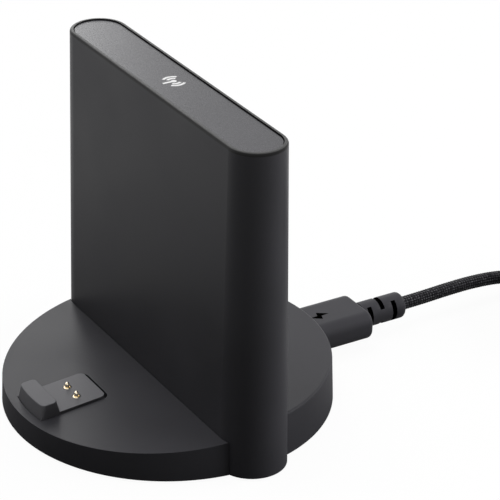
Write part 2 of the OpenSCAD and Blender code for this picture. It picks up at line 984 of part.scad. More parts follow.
// Radio board in the tower
module radio_board() {
    color(board_col)
    difference() {
        translate([-radio_w / 2, radio_front, radio_z])
            cube([radio_w, radio_t, radio_h]);
        for (p = radio_screw_spots)
            translate([p[0], radio_front - eps, p[1]])
                rotate([-90, 0, 0])
                    cylinder(h = far, d = tiny_d + 2 * screw_play);
    }
}

module radio_screws() {
    color(steel_col)
    for (p = radio_screw_spots)
        translate([p[0], radio_front, p[1]])
            rotate([90, 0, 0])
                tiny_screw(radio_t);
}

// Pressed metal can over the radio circuit
module shield_can() {
    color(steel_col)
    translate([-can_w / 2 - can_shift, radio_front - can_t, radio_z + can_lift])
        difference() {
            cube([can_w, can_t, can_h]);
            translate([can_sheet, can_sheet, can_sheet])
                cube([can_w - 2 * can_sheet, can_t, can_h - 2 * can_sheet]);
        }
}

// Folded antenna strip on the upper part of the radio board
module antenna() {
    strip = antenna_strip;
    fold = antenna_fold;
    far_side = antenna_reach - strip;
    color(gold_col)
    translate([-radio_w / 2 + antenna_side, radio_front, radio_top - antenna_drop])
        rotate([90, 0, 0])
            linear_extrude(antenna_sheet) {
                for (i = [0 : antenna_folds])
                    translate([0, -i * fold - strip])
                        square([antenna_reach, strip]);
                for (i = [0 : antenna_folds - 1])
                    translate([i % 2 == 0 ? far_side : 0, -(i + 1) * fold - strip])
                        square([strip, fold + strip]);
            }
}

// Flat flexible cable between the two boards
module ribbon_cable() {
    color(cable_col)
    translate([ribbon_x - ribbon_w / 2, ribbon_y - ribbon_t / 2, ribbon_z])
        cube([ribbon_w, ribbon_t, ribbon_top - ribbon_z]);
}

// Sockets of the flat cable, one on each board
module ribbon_sockets() {
    color(white_col)
    difference() {
        translate([ribbon_x - ribbon_socket_w / 2, 0, 0]) {
            translate([0, ribbon_y - ribbon_socket_t / 2, board_top])
                cube([ribbon_socket_w, ribbon_socket_t, ribbon_socket_h]);
            translate([0, ribbon_y - radio_socket_wall, radio_socket_z])
                cube([ribbon_socket_w, radio_front - ribbon_y + radio_socket_wall, radio_socket_h]);
        }
        translate([ribbon_x - ribbon_w / 2 - fit / 2, ribbon_y - ribbon_t / 2 - fit / 2, ribbon_z])
            cube([ribbon_w + fit, ribbon_t + fit, ribbon_top - ribbon_z]);
    }
}

// Metal shell of the plug
module plug_shell() {
    color(steel_col)
    difference() {
        on_port_axis(plug_tip)
            linear_extrude(plug_reach)
                round_rect(plug_shell_w, plug_shell_t, plug_shell_t / 2 - round_short);
        on_port_axis(plug_tip - eps)
            linear_extrude(plug_reach + eps)
                round_rect(plug_core_w, plug_core_t, plug_core_t / 2 - round_short);
    }
}

// Insulator in the plug's shell, with the slot for the socket's tongue
module plug_core() {
    color(inner_col)
    difference() {
        on_port_axis(plug_tip)
            linear_extrude(plug_reach)
                round_rect(plug_core_w, plug_core_t, plug_core_t / 2 - round_short);
        on_port_axis(plug_tip - eps)
            linear_extrude(tongue_tip - plug_tip + plug_slot_over + eps)
                square([tongue_w + 2 * plug_slot_play, tongue_t + 2 * plug_slot_play], center = true);
    }
}

// Moulded housing of the plug, with a rounded outer end
module plug_housing() {
    end_r = plug_end_r;
    color(rubber_col)
    hull() {
        on_port_axis(plug_face)
            linear_extrude(plug_len - end_r)
                round_rect(plug_w, plug_t, plug_r, $fn = 32);
        for (a = [30, 60, 90])
            on_port_axis(plug_face + plug_len - end_r)
                linear_extrude(end_r * sin(a))
                    round_rect(plug_w - 2 * end_r * (1 - cos(a)), plug_t - 2 * end_r * (1 - cos(a)),
                        plug_r - end_r * (1 - cos(a)), $fn = 32);
    }
}

// Slotted strain relief of the plug
module strain_relief() {
    r = relief_d / 2;
    color(rubber_col)
    on_port_axis(plug_end)
        difference() {
            rotate_extrude()
                polygon(concat([[0, 0], [r, 0]],
                    rounded_edge(r, relief_len, relief_edge), [[0, relief_len]]));
            for (i = [0 : len(relief_slots) - 1], side = [0, 180])
                translate([0, 0, relief_slots[i] - relief_slot_w / 2])
                    rotate(side + (i % 2) * 90 - relief_slot_span / 2)
                        rotate_extrude(angle = relief_slot_span)
                            translate([relief_core_d / 2, 0])
                                square([r, relief_slot_w]);
        }
}

// Cable from the plug to the coil
module cable_lead() {
    color(cable_col)
    tube(lead_route, cable_d / 2, cable_sides);
}

// Outer shape of the wound cable
module cable_coil() {
    edge = cable_d / 2;
    color(cable_col)
    translate([coil_x, coil_y, coil_z])
        rotate_extrude()
            translate([(coil_in_r + coil_out_r) / 2, (coil_top - coil_z) / 2])
                round_rect(coil_out_r - coil_in_r, coil_top - coil_z, edge);
}

// Cable from the coil to the far plug
module cable_tail() {
    color(cable_col)
    tube(tail_route, cable_d / 2, cable_sides);
}

// Strap around the coil
module cable_tie() {
    inner_l = coil_out_r - tie_in;
    color(rubber_col)
    translate([coil_x, coil_y, 0])
        rotate(tie_turn)
            difference() {
                translate([tie_in - tie_t, -tie_w / 2, 0])
                    cube([inner_l + 2 * tie_t, tie_w, coil_top + tie_t]);
                translate([tie_in, -tie_w / 2 - eps, coil_z])
                    cube([inner_l, tie_w + 2 * eps, coil_top - coil_z]);
            }
}

// Strain relief, housing, shell and tongue of the far plug
module far_relief() {
    r = far_relief_d / 2;
    color(rubber_col)
    on_far_axis(0)
        rotate_extrude()
            polygon([[0, 0], [r - far_relief_taper, 0], [r, far_relief_len], [0, far_relief_len]]);
}

module far_housing() {
    color(rubber_col)
    on_far_axis(far_relief_len)
        linear_extrude(far_len)
            round_rect(far_w, far_t, far_corner);
}

module far_shell() {
    color(steel_col)
    on_far_axis(far_relief_len + far_len)
        linear_extrude(far_shell_len)
            difference() {
                square([far_shell_w, far_shell_t], center = true);
                square([far_shell_w - 2 * far_sheet, far_shell_t - 2 * far_sheet], center = true);
            }
}

module far_tongue() {
    drop = far_shell_t / 2 - far_sheet - far_tongue_t / 2;
    color(white_col)
    on_far_axis(far_relief_len + far_len)
        translate([0, drop, 0])
            linear_extrude(far_shell_len - far_tongue_short)
                square([far_tongue_w, far_tongue_t], center = true);
}

front_cover();
rear_cover();
base_plate();
foot_pad();
base_screws();
dock_insert();
pin_block();
pin_barrels();
contact_pin_left();
contact_pin_right();
pin_spring_left();
pin_spring_right();
main_board();
main_board_screws();
charge_chips();
socket_shell();
socket_tongue();
tower_shell();
tower_screws();
top_panel();
icon_window();
light_pipe();
status_led();
board_carrier();
radio_board();
radio_screws();
shield_can();
antenna();
ribbon_cable();
ribbon_sockets();
plug_shell();
plug_core();
plug_housing();
strain_relief();
cable_lead();
cable_coil();
cable_tail();
cable_tie();
far_relief();
far_housing();
far_shell();
far_tongue();
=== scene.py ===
"""Looks of the mouse charging dock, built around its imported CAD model.

Lengths are in millimetres, and the stage's are in metres.
"""

import math

import bmesh
import bpy
from mathutils import Matrix, Vector


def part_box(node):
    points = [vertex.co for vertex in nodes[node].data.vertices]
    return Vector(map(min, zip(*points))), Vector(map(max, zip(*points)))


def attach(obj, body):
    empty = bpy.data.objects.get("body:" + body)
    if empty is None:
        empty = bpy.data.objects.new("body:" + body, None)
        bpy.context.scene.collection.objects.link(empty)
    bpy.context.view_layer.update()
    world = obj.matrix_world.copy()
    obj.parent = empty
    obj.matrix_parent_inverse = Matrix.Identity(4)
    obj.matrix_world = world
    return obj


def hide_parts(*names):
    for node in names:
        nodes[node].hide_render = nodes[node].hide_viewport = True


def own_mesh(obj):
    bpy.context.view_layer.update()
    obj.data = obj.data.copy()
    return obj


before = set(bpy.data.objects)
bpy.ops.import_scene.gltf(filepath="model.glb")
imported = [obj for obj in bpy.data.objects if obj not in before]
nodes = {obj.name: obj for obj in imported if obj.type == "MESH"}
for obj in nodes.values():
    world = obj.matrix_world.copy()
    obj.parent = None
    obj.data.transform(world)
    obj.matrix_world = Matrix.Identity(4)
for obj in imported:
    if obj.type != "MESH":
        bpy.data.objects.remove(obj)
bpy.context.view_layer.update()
scene = bpy.context.scene
scene.view_settings.view_transform = "Standard"
MM = 0.001


# Sizes that the CAD model gives

def node_box(node):
    """Low corner, high corner and size of a CAD node."""
    low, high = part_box(node)
    return low / MM, high / MM, (high - low) / MM


def middle(low, high):
    return (low + high) / 2


DECK_H = 7.6
DECK_SLOPE = math.radians(4.4)
PLATFORM_H = 0.45
LUG_H = 2.8
TOWER_TOP = node_box("tower_shell")[1].z
PLUG_LOW, PLUG_HIGH, PLUG_SIZE = node_box("plug_housing")
PORT_Z = middle(PLUG_LOW, PLUG_HIGH).z
FAR_LOW, FAR_HIGH, FAR_SIZE = node_box("far_housing")
FAR_X, _, FAR_Z = middle(FAR_LOW, FAR_HIGH)
FAR_Y = node_box("far_relief")[1].y


# Camera at the photograph's angle

CAMERA_TURN = math.radians(58.638)
CAMERA_RISE = math.radians(27.513)
CAMERA_ROLL = math.radians(0.889)
CAMERA_TARGET = (-1.74, 19.27, 25.6)
CAMERA_AWAY = 459.14
CAMERA_LENS = 170.45
CAMERA_SENSOR = 36
CAMERA_NEAREST = 10
CAMERA_FARTHEST = 20000


def add_camera():
    back = Vector((
        math.sin(CAMERA_TURN) * math.cos(CAMERA_RISE),
        -math.cos(CAMERA_TURN) * math.cos(CAMERA_RISE),
        math.sin(CAMERA_RISE),
    ))
    level = Vector((math.cos(CAMERA_TURN), math.sin(CAMERA_TURN), 0))
    upright = back.cross(level)
    right = math.cos(CAMERA_ROLL) * level + math.sin(CAMERA_ROLL) * upright
    up = math.cos(CAMERA_ROLL) * upright - math.sin(CAMERA_ROLL) * level
    data = bpy.data.cameras.new("camera")
    data.sensor_width = CAMERA_SENSOR
    data.lens = CAMERA_LENS
    data.clip_start = CAMERA_NEAREST * MM
    data.clip_end = CAMERA_FARTHEST * MM
    camera = bpy.data.objects.new("camera", data)
    scene.collection.objects.link(camera)
    place = Vector(CAMERA_TARGET) * MM + back * (CAMERA_AWAY * MM)
    turn = Matrix((right, up, back)).transposed().to_4x4()
    camera.matrix_world = Matrix.Translation(place) @ turn
    scene.camera = camera


# Shader helpers

class Graph:
    """Short calls for the nodes of a shader tree."""

    def __init__(self, tree):
        self.tree = tree

    def feed(self, socket, source):
        """Links an input to an output, or sets it to a constant."""
        if isinstance(source, bpy.types.NodeSocket):
            self.tree.links.new(source, socket)
        else:
            socket.default_value = source

    def node(self, kind, links=(), **settings):
        made = self.tree.nodes.new("ShaderNode" + kind)
        for key, value in settings.items():
            setattr(made, key, value)
        for socket, source in dict(links).items():
            self.feed(made.inputs[socket], source)
        return made

    def math(self, operation, a, b=0.0):
        return self.node("Math", {0: a, 1: b}, operation=operation).outputs[0]

    def spread(self, factor, low, high, source=(0.3, 0.7)):
        """Maps the range of a source to low and high. Most of a noise lies in the default range."""
        links = {
            "Value": factor,
            "From Min": source[0],
            "From Max": source[1],
            "To Min": low,
            "To Max": high,
        }
        return self.node("MapRange", links).outputs["Result"]


class Look(Graph):
    """A material, with short calls for its textures and bumps."""

    def __init__(self, name):
        self.material = bpy.data.materials.new(name)
        self.material.use_nodes = True
        super().__init__(self.material.node_tree)
        self.shader = self.tree.nodes["Principled BSDF"]

    def point(self):
        return self.node("TexCoord").outputs["Object"]

    def noise(self, size, detail=3.0, stretch=(1, 1, 1), rough=0.5):
        place = self.node("Mapping", {"Vector": self.point(), "Scale": stretch}).outputs["Vector"]
        links = {"Vector": place, "Scale": 1 / (size * MM), "Detail": detail, "Roughness": rough}
        return self.node("TexNoise", links).outputs["Fac"]

    def ramp(self, factor, stops):
        made = self.node("ValToRGB", {"Fac": factor})
        ends = made.color_ramp.elements
        while len(ends) < len(stops):
            ends.new(0.5)
        for end, (at, colour) in zip(ends, stops):
            end.position = at
            end.color = (*colour, 1)
        return made.outputs["Color"]

    def bump(self, height, depth, strength, under=None):
        links = {"Height": height, "Distance": depth * MM, "Strength": strength}
        if under is not None:
            links["Normal"] = under
        return self.node("Bump", links).outputs["Normal"]

    def finish(self, **inputs):
        """The material with the shader's inputs set. An underscore in a name stands for a space."""
        for key, value in inputs.items():
            self.feed(self.shader.inputs[key.replace("_", " ")], value)
        return self.material


def shade(colour, factor):
    return tuple(c * factor for c in colour)


# Materials

WHITE = (1, 1, 1, 1)
PATCH_SIZE = 18.0
STAIN_SIZE = 6.0


def moulded(name, colour, rough, grain, depth, level=0.5, mottle=0.1, spread=0.06, painted_bands=()):
    """Moulded plastic or rubber: fine grain from the tool, and faint patches in tone and gloss.
    Each band is a grey of painted shade or painted highlight that starts at one height and is full at
    another."""
    look = Look(name)
    patches = look.noise(PATCH_SIZE, detail=4.0)
    fine = look.noise(grain, detail=2.0)
    tone = look.ramp(patches, [(0.3, shade(colour, 1 - mottle)), (0.7, shade(colour, 1 + mottle))])
    gloss = look.math(
        "ADD",
        look.spread(patches, rough - spread, rough + spread),
        look.spread(fine, -0.03, 0.03),
    )
    for start, full, grey in painted_bands:
        height = look.node("SeparateXYZ", {0: look.point()}).outputs[2]
        reached = look.spread(height, 0.0, 1.0, (start * MM, full * MM))
        tone = look.node("MixRGB", {0: reached, 1: tone, 2: (grey, grey, grey, 1)}).outputs[0]
    coarse = look.bump(look.noise(grain * 4, detail=2.0), depth * 0.6, strength=0.5)
    return look.finish(
        Base_Color=tone,
        Roughness=gloss,
        Normal=look.bump(fine, depth, strength=0.6, under=coarse),
        Specular_IOR_Level=level,
    )


def metal(name, colour, rough, stretch=(1, 1, 1), grain=0.5, depth=0.004):
    """Plated or brushed metal with fine drawn marks."""
    look = Look(name)
    marks = look.noise(grain, detail=4.0, stretch=stretch)
    stain = look.noise(STAIN_SIZE)
    return look.finish(
        Base_Color=look.ramp(stain, [(0.3, shade(colour, 0.88)), (0.7, colour)]),
        Metallic=1.0,
        Roughness=look.spread(marks, rough * 0.7, rough * 1.4),
        Normal=look.bump(marks, depth, strength=0.5),
    )


def circuit_board():
    """Green solder mask over copper lines."""
    look = Look("circuit_board")
    black = (0, 0, 0, 1)
    lines = look.node("TexBrick", {
        "Vector": look.point(), "Scale": 300.0, "Mortar Size": 0.02,
        "Color1": black, "Color2": black, "Mortar": WHITE,
    }).outputs["Fac"]
    mask, raised = (0.008, 0.06, 0.03), (0.02, 0.16, 0.075)
    patches = look.noise(3.0, detail=4.0)
    copper = look.math("MULTIPLY", lines, look.spread(patches, 0.0, 1.0, (0.45, 0.6)))
    return look.finish(
        Base_Color=look.ramp(copper, [(0.0, mask), (1.0, raised)]),
        Roughness=look.spread(look.noise(0.4), 0.22, 0.36),
        Normal=look.bump(copper, depth=0.03, strength=0.6),
    )


def clear_acrylic():
    look = Look("clear_acrylic")
    return look.finish(
        Base_Color=(0.86, 0.92, 0.95, 1),
        Roughness=look.spread(look.noise(2.0), 0.03, 0.12),
        Normal=look.bump(look.noise(1.2, detail=2.0), depth=0.01, strength=0.3),
        IOR=1.49,
        Transmission_Weight=1.0,
    )


def woven_braid():
    """Braided sleeve: two crossing families of strands, from the cable's own map of turns and length."""
    look = Look("woven_braid")
    split = look.node("SeparateXYZ", {0: look.node("UVMap", uv_map="braid").outputs["UV"]})
    around = look.math("MULTIPLY", split.outputs[0], 2 * math.pi)
    along = look.math("MULTIPLY", split.outputs[1], 2 * math.pi)
    one = look.math("SINE", look.math("ADD", around, along))
    two = look.math("SINE", look.math("SUBTRACT", around, along))
    height = look.spread(look.math("MULTIPLY", one, two), 0.0, 1.0, (-1.0, 1.0))
    threads = look.noise(0.09, detail=2.0)
    strands = look.spread(look.noise(0.4, detail=1.0), 0.3, 1.15)
    mixed = look.math("MULTIPLY", height, strands)
    mixed = look.math("MULTIPLY", mixed, look.spread(threads, 0.55, 1.2))
    weave = look.bump(height, depth=0.09, strength=0.9)
    # Painted shade darkens the gaps between strands, and a painted sheen lightens their crests
    gap_shade, strand, crest_sheen = (0.006, 0.006, 0.0068), (0.026, 0.0257, 0.029), (0.13, 0.128, 0.138)
    return look.finish(
        Base_Color=look.ramp(mixed, [(0.12, gap_shade), (0.42, strand), (0.8, crest_sheen)]),
        Roughness=look.spread(threads, 0.5, 0.75),
        Normal=look.bump(threads, depth=0.02, strength=0.5, under=weave),
        Specular_IOR_Level=0.12,
    )


def loop_strap():
    """Hook and loop strap: short fuzzy pile over a woven ground."""
    look = Look("loop_strap")
    pile = look.noise(0.25, detail=4.0, rough=0.7)
    cells = look.node("TexVoronoi", {"Vector": look.point(), "Scale": 1 / (0.45 * MM)})
    ground = look.bump(cells.outputs["Distance"], depth=0.1, strength=0.5)
    low, high = (0.0105, 0.0105, 0.0115), (0.049, 0.0485, 0.053)
    return look.finish(
        Base_Color=look.ramp(pile, [(0.3, low), (0.75, high)]),
        Roughness=look.spread(pile, 0.7, 0.95),
        Normal=look.bump(pile, depth=0.08, strength=0.8, under=ground),
        Sheen_Weight=0.06,
        Specular_IOR_Level=0.15,
    )


BLACK = (0.036, 0.0355, 0.04)
PLATE_BLACK = (0.028, 0.0276, 0.03)
PLUG_BLACK = (0.043, 0.0424, 0.0476)
RUBBER_BLACK = (0.03, 0.0296, 0.032)
INNER_BLACK = (0.024, 0.0237, 0.026)
# Near-black for the painted shade inside the relief's slots, and for the plug's symbol
SLOT_SHADE_AND_SYMBOL_BLACK = (0.001, 0.001, 0.001)
INSERT_GREY = (0.119, 0.118, 0.126)
PANEL_GREY = (0.0385, 0.038, 0.044)
PRINT_WHITE = (0.7, 0.7, 0.7)
IVORY = (0.62, 0.6, 0.55)
GOLD = (0.98, 0.86, 0.64)
STEEL = (0.55, 0.56, 0.58)
SHELL = {"rough": 0.4, "grain": 0.16, "depth": 0.012, "level": 0.145}
INSERT = {"rough": 0.5, "grain": 0.14, "depth": 0.01, "level": 0.2, "mottle": 0.06}
PANEL = {"rough": 0.27, "grain": 0.12, "depth": 0.003, "level": 0.4, "mottle": 0.04, "spread": 0.01}
# Painted shade makes the groove beside the panel near-black, and a painted highlight makes the rim's edge
# over it pale
GROOVE_SHADE_BAND = (TOWER_TOP - 0.7, TOWER_TOP - 0.55, 0.007)
RIM_HIGHLIGHT_BAND = (TOWER_TOP - 0.14, TOWER_TOP - 0.06, 0.06)

looks = {
    "shell": moulded("shell_plastic", BLACK, **SHELL),
    "tower": moulded("tower_plastic_painted_rim", BLACK, **SHELL, painted_bands=(GROOVE_SHADE_BAND, RIM_HIGHLIGHT_BAND)),
    "plate": moulded("plate_plastic", PLATE_BLACK, rough=0.55, grain=0.25, depth=0.02, level=0.2),
    "insert": moulded("insert_plastic", INSERT_GREY, **INSERT),
    "panel": moulded("panel_plastic", PANEL_GREY, **PANEL),
    "icon": moulded("icon_print", PRINT_WHITE, rough=0.4, grain=0.2, depth=0.004, mottle=0.03),
    "ivory": moulded("socket_plastic", IVORY, rough=0.45, grain=0.3, depth=0.01, mottle=0.05),
    "rubber": moulded("foot_rubber", RUBBER_BLACK, rough=0.8, grain=0.3, depth=0.03, level=0.3),
    "plug": moulded("plug_soft_plastic", PLUG_BLACK, rough=0.5, grain=0.18, depth=0.014, level=0.13),
    "inner": moulded("inner_plastic", INNER_BLACK, rough=0.5, grain=0.3, depth=0.015),
    "shade_and_symbol": moulded("painted_slot_shade_and_symbol", SLOT_SHADE_AND_SYMBOL_BLACK, rough=0.9, grain=0.3, depth=0.01, level=0.0),
    "gold": metal("gold_plate", GOLD, rough=0.2, grain=0.3, depth=0.002),
    "spring": metal("spring_steel", STEEL, rough=0.25, stretch=(1, 1, 6)),
    "steel": metal("plated_steel", STEEL, rough=0.34, stretch=(1, 12, 1)),
    "board": circuit_board(),
    "clear": clear_acrylic(),
    "braid": woven_braid(),
    "strap": loop_strap(),
}

node_looks = {
    "shell": ["rear_cover"],
    "tower": ["tower_shell"],
    "plate": ["base_plate"],
    "panel": ["top_panel"],
    "icon": ["icon_window", "status_led"],
    "ivory": ["ribbon_sockets", "far_tongue"],
    "gold": ["pin_barrels", "contact_pin_left", "contact_pin_right", "antenna"],
    "spring": ["base_screws", "tower_screws", "main_board_screws", "radio_screws"],
    "steel": ["socket_shell", "plug_shell", "shield_can"],
    "inner": ["pin_block", "charge_chips", "socket_tongue", "board_carrier", "ribbon_cable", "plug_core"],
    "board": ["main_board", "radio_board"],
    "clear": ["light_pipe"],
}
for look_name, members in node_looks.items():
    for member in members:
        for held in nodes[member].material_slots:
            held.material = looks[look_name]


# Mesh helpers

def add_piece(name, mesh, materials, body, replaced=(), sharp=32, weighted=True, sheet=0.0):
    """A finished mesh as a piece that rides on a body and stands for CAD nodes.
    A mesh that is only a surface gets the thickness of its sheet."""
    mesh.name = name
    for material in materials:
        mesh.materials.append(looks[material])
    mesh.polygons.foreach_set("use_smooth", [True] * len(mesh.polygons))
    mesh.set_sharp_from_angle(angle=math.radians(sharp))
    piece = bpy.data.objects.new(name, mesh)
    scene.collection.objects.link(piece)
    if sheet:
        layer = piece.modifiers.new("sheet", "SOLIDIFY")
        layer.thickness = sheet * MM
        layer.offset = 0
    if weighted:
        modifier = piece.modifiers.new("normals", "WEIGHTED_NORMAL")
        modifier.keep_sharp = True
    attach(piece, body)
    if replaced:
        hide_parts(*replaced)
    return piece


def to_mesh(bm):
    bmesh.ops.recalc_face_normals(bm, faces=bm.faces)
    mesh = bpy.data.meshes.new("mesh")
    bm.to_mesh(mesh)
    bm.free()
    return mesh


def cad_copy(node):
    """A CAD node's surface with its flat faces joined, ready for its edges to be rounded."""
    bm = bmesh.new()
    bm.from_mesh(nodes[node].data)
    bmesh.ops.remove_doubles(bm, verts=bm.verts, dist=0.0001 * MM)
    bmesh.ops.dissolve_limit(bm, angle_limit=math.radians(0.6), verts=bm.verts, edges=bm.edges)
    return bm


def round_edges(bm, pick, width, segments, least=25):
    """Rounds each edge whose faces turn by more than the least angle, where pick accepts both its ends."""
    chosen = [
        e for e in bm.edges
        if len(e.link_faces) == 2
        and math.degrees(e.calc_face_angle(0)) > least
        and e.is_convex
        and all(pick(v.co / MM) for v in e.verts)
    ]
    bmesh.ops.bevel(
        bm, geom=chosen, offset=width * MM, offset_type="OFFSET", segments=segments,
        profile=0.5, affect="EDGES", clamp_overlap=True,
    )


def round_rect(w, h, r, steps=8):
    """Points of a rectangle with round corners, anticlockwise from its right side's upper end."""
    points = []
    for cx, cy, start in ((1, 1, 0), (-1, 1, 90), (-1, -1, 180), (1, -1, 270)):
        for i in range(steps + 1):
            a = math.radians(start + 90 * i / steps)
            points.append((cx * (w / 2 - r) + r * math.cos(a), cy * (h / 2 - r) + r * math.sin(a)))
    return points


def quarter_round(r, steps):
    """Points of an edge that rounds off towards an end, as distance before that end and inset."""
    angles = [math.pi / 2 * i / steps for i in range(steps + 1)]
    return [(r * (1 - math.sin(a)), r * (1 - math.cos(a))) for a in angles]


def loft(rings):
    """Skin over rings of as many points each, with flat ends."""
    bm = bmesh.new()
    made = [[bm.verts.new(Vector(p) * MM) for p in ring] for ring in rings]
    count = len(made[0])
    for low, high in zip(made, made[1:]):
        for k in range(count):
            n = (k + 1) % count
            bm.faces.new((low[k], low[n], high[n], high[k]))
    bm.faces.new(made[0][::-1])
    bm.faces.new(made[-1])
    return to_mesh(bm)


def lathe(profile, place, steps):
    """Skin of a profile of radius and height, turned round an axis. place maps it to the part's frame."""
    angles = [2 * math.pi * k / steps for k in range(steps)]
    return loft([
        [place(radius * math.cos(a), radius * math.sin(a), height) for a in angles]
        for radius, height in profile
    ])


# Places on the sloped deck

DECK_TOLERANCE = 0.02


def from_deck(x, y, height):
    """A point of the part's frame, from its place along the deck and its height over it."""
    up, away = math.sin(DECK_SLOPE), math.cos(DECK_SLOPE)
    return (x, y * away - height * up, DECK_H + y * up + height * away)


def at_deck_height(p, height):
    """Whether a point lies at a height over the deck."""
    over = (p.z - DECK_H) * math.cos(DECK_SLOPE) - p.y * math.sin(DECK_SLOPE)
    return abs(over - height) < DECK_TOLERANCE


# Front cover: the CAD surface with a soft rim and soft edges at the insert's pocket

RIM_FROM_R = 31
RIM_ROUND = 0.55
POCKET_TO_R = 30.5
POCKET_TO_Y = -12
TRIM_ROUND = 0.12


def at_rim(p):
    return at_deck_height(p, 0) and math.hypot(p.x, p.y) > RIM_FROM_R


def at_pocket(p):
    return at_deck_height(p, 0) and math.hypot(p.x, p.y) < POCKET_TO_R and p.y < POCKET_TO_Y


def add_front_cover():
    bm = cad_copy("front_cover")
    round_edges(bm, at_rim, RIM_ROUND, 4)
    round_edges(bm, at_pocket, TRIM_ROUND, 2)
    add_piece("front_cover_soft", to_mesh(bm), ["shell"], "dock", ["front_cover"])


# Contact insert: the CAD surface up to its platform, and the lug over it with round corners and a soft top

LUG_HALF_W = 5.0
LUG_SIDE_DRAFT = 0.12
LUG_FRONT = -30.15
LUG_FRONT_DRAFT = 0.6
LUG_FRONT_R = 30
LUG_BACK = -25.7
LUG_BACK_DRAFT = 0.35
LUG_FOOT_CORNER = 0.3
LUG_CORNER_GROWTH = 0.65
LUG_SOFT = 0.16
LUG_SUNK = 0.4
LONG_SIDE = 0.4
LONG_SIDE_PARTS = 8
CUT_OVER_PLATFORM = 0.06
PINS_HALF_W = 3.2
PINS_TO_Y = -17.5


def split_long_sides(points):
    """An outline with points along its straight sides, so that they can follow a curve."""
    found = []
    for (x, y), (after_x, after_y) in zip(points, points[1:] + points[:1]):
        parts = LONG_SIDE_PARTS if math.hypot(after_x - x, after_y - y) > LONG_SIDE else 1
        found += [(x + (after_x - x) * k / parts, y + (after_y - y) * k / parts) for k in range(parts)]
    return found


def lug_ring(height, inset):
    """Outline of the lug at a height over the deck. Its front follows the base's edge."""
    share = max(height, 0) / LUG_H
    half = LUG_HALF_W - LUG_SIDE_DRAFT * share - inset
    front = LUG_FRONT + LUG_FRONT_DRAFT * share + inset
    back = LUG_BACK - LUG_BACK_DRAFT * share - inset
    corner = LUG_FOOT_CORNER + LUG_CORNER_GROWTH * share - inset
    ring = []
    for x, y in split_long_sides(round_rect(2 * half, back - front, corner)):
        y += (front + back) / 2
        y += (back - y) / (back - front) * x * x / (2 * LUG_FRONT_R)
        ring.append(from_deck(x, y, height))
    return ring


def at_platform(p):
    """Whether a point is on the platform's edge, away from the pins' holes."""
    return at_deck_height(p, PLATFORM_H) and (abs(p.x) > PINS_HALF_W or p.y > PINS_TO_Y)


def add_insert():
    bm = cad_copy("dock_insert")
    cut = bmesh.ops.bisect_plane(
        bm, geom=bm.verts[:] + bm.edges[:] + bm.faces[:], clear_outer=True,
        plane_co=Vector(from_deck(0, 0, PLATFORM_H + CUT_OVER_PLATFORM)) * MM,
        plane_no=Vector((0, -math.sin(DECK_SLOPE), math.cos(DECK_SLOPE))),
    )
    bmesh.ops.holes_fill(bm, edges=[e for e in cut["geom_cut"] if isinstance(e, bmesh.types.BMEdge)])
    round_edges(bm, at_platform, TRIM_ROUND, 2)
    rings = [lug_ring(height, 0) for height in (-LUG_SUNK, 0.0, 0.8, 1.6)]
    rings += [lug_ring(LUG_H - short, inset) for short, inset in quarter_round(LUG_SOFT, 6)]
    lug = loft(rings)
    bm.from_mesh(lug)
    bpy.data.meshes.remove(lug)
    add_piece("contact_insert", to_mesh(bm), ["insert"], "dock", ["dock_insert"])


# Pin springs, each a copy of its CAD node with a mesh of its own

def add_spring(side):
    node = "pin_spring_" + side
    bm = bmesh.new()
    bm.from_mesh(nodes[node].data)
    spring = add_piece(
        "coil_spring_" + side, to_mesh(bm), ["spring"], "dock", [node],
        sharp=50, weighted=False,
    )
    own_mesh(spring)


# Foot pad with shallow rings

PAD_GROOVES = (2.5, 5.5, 8.5)
PAD_GROOVE_DEPTH = 0.3
PAD_GROOVE_MOUTH = 0.5
PAD_GROOVE_FLOOR = 0.35
NEAR_AXIS = 0.01


def pad_place(x, y, z):
    """A point of the pad, which is turned round the part's own axis."""
    return (x, y, z)


def add_foot_pad():
    _, high, _ = node_box("foot_pad")
    r, top = high.x, high.z
    profile = [(NEAR_AXIS, top), (r - 0.1, top), (r, top - 0.1)]
    profile += [(r, 0.35), (r - 0.15, 0.1), (r - 0.4, 0.0)]
    for inwards in PAD_GROOVES:
        groove = r - inwards
        profile += [
            (groove + PAD_GROOVE_MOUTH, 0.0),
            (groove + PAD_GROOVE_FLOOR, PAD_GROOVE_DEPTH),
            (groove - PAD_GROOVE_FLOOR, PAD_GROOVE_DEPTH),
            (groove - PAD_GROOVE_MOUTH, 0.0),
        ]
    profile += [(NEAR_AXIS, 0.0)]
    mesh = lathe(profile, pad_place, 128)
    add_piece("foot_pad_rings", mesh, ["rubber"], "dock", ["foot_pad"])


# Plug: soft housing with a symbol, and a slotted strain relief whose slots are painted near-black as shade

PLUG_CORNER = 2.4
PLUG_NEAR_ROUND = 0.25
PLUG_END_ROUND = 0.9
BOLT = [(0.03, 2.1), (-1.35, 0.0), (-0.12, -0.42), (-0.03, -2.1), (1.35, 0.0), (0.12, 0.42)]
BOLT_X = 0.6
BOLT_FROM_FACE = 3.3
BOLT_SUNK = 0.05
BOLT_PROUD = 0.02
RELIEF_OUTER_FROM = 2.5
RELIEF_SLOT_TO = 2.55
RELIEF_COLLAR = 0.3
RELIEF_TIP = 1.0


def add_plug_body():
    stations = [(PLUG_LOW.y + short, inset) for short, inset in quarter_round(PLUG_NEAR_ROUND, 4)[::-1]]
    stations += [(PLUG_HIGH.y - short, inset) for short, inset in quarter_round(PLUG_END_ROUND, 6)]
    rings = []
    for y, inset in stations:
        section = round_rect(PLUG_SIZE.x - 2 * inset, PLUG_SIZE.z - 2 * inset, PLUG_CORNER - inset)
        rings.append([(x, y, PORT_Z + z) for x, z in section])
    return add_piece("plug_body", loft(rings), ["plug"], "lead", ["plug_housing"])


